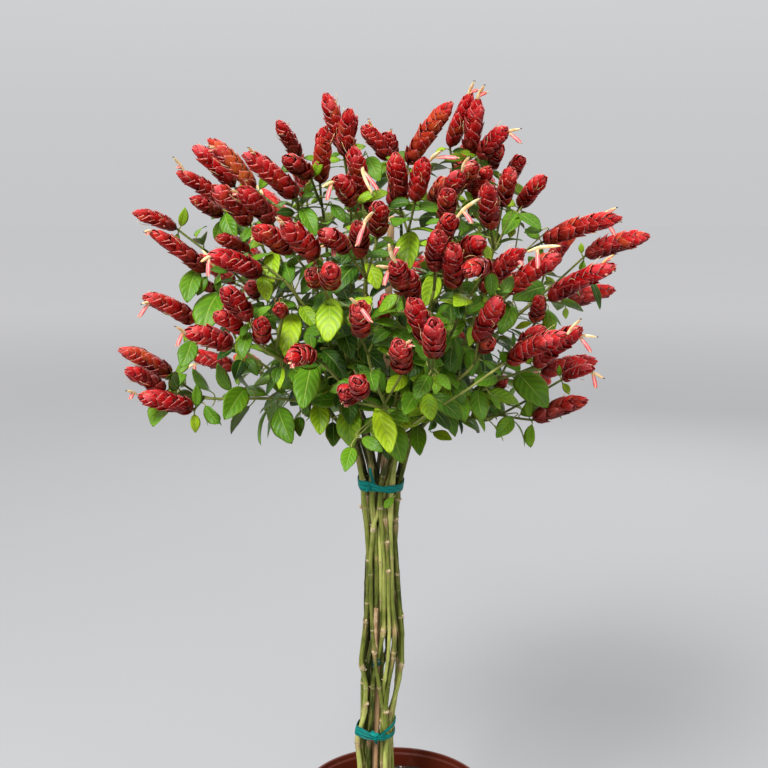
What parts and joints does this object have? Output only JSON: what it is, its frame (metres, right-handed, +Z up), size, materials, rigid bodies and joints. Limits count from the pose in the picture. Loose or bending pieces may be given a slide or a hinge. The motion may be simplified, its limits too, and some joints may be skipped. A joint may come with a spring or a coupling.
{
  "type": "potted shrimp plant",
  "caption": "Shrimp plant trained as a small standard tree: bundled bare canes taped to a bamboo stake in a nursery pot, with a round head of green leaves and drooping red bract spikes.",
  "frame": {"origin": "centre of the pot's underside", "axes": "+Z up along the trunk; -Y is the side that the head was set out from, +X to its right"},
  "size_m": [0.5414, 0.52, 0.9547],
  "materials": {
    "pot": "red-brown, satin",
    "soil": "moist bark and peat mix, crumbly",
    "stake": "dry bamboo, matt",
    "tape": "teal stretch tape, semi-gloss",
    "foliage": "green canes and leaves, satin",
    "bracts": "red papery bracts, matt"
  },
  "bodies": {
    "root": {"pot": "pot", "soil": "soil", "stake": "stake", "tie_top": "tape", "tie_mid": "tape", "tie_low": "tape", "stem_1": "foliage", "stem_2": "foliage", "stem_3": "foliage", "stem_4": "foliage", "stem_5": "foliage", "stem_6": "foliage", "stem_7": "foliage", "stem_8": "foliage", "stem_9": "foliage", "spray_01": "bracts", "spray_02": "bracts", "spray_03": "bracts", "spray_04": "bracts", "spray_05": "bracts", "spray_06": "bracts", "spray_07": "bracts", "spray_08": "bracts", "spray_09": "bracts", "spray_10": "bracts", "spray_11": "bracts", "spray_12": "bracts", "spray_13": "bracts", "spray_14": "bracts", "spray_15": "bracts", "spray_16": "bracts", "spray_17": "bracts", "spray_18": "bracts", "spray_19": "bracts", "spray_20": "bracts", "spray_21": "bracts", "spray_22": "bracts", "spray_23": "bracts", "spray_24": "bracts", "spray_25": "bracts", "spray_26": "bracts", "spray_27": "bracts", "spray_28": "bracts", "spray_29": "bracts", "spray_30": "bracts", "spray_31": "bracts", "spray_32": "bracts", "spray_33": "bracts", "spray_34": "bracts", "spray_35": "bracts", "spray_36": "bracts", "spray_37": "bracts", "spray_38": "bracts", "spray_39": "bracts", "spray_40": "bracts", "spray_41": "bracts", "spray_42": "bracts", "spray_43": "bracts", "spray_44": "bracts", "spray_45": "bracts"}
  },
  "joints": []
}
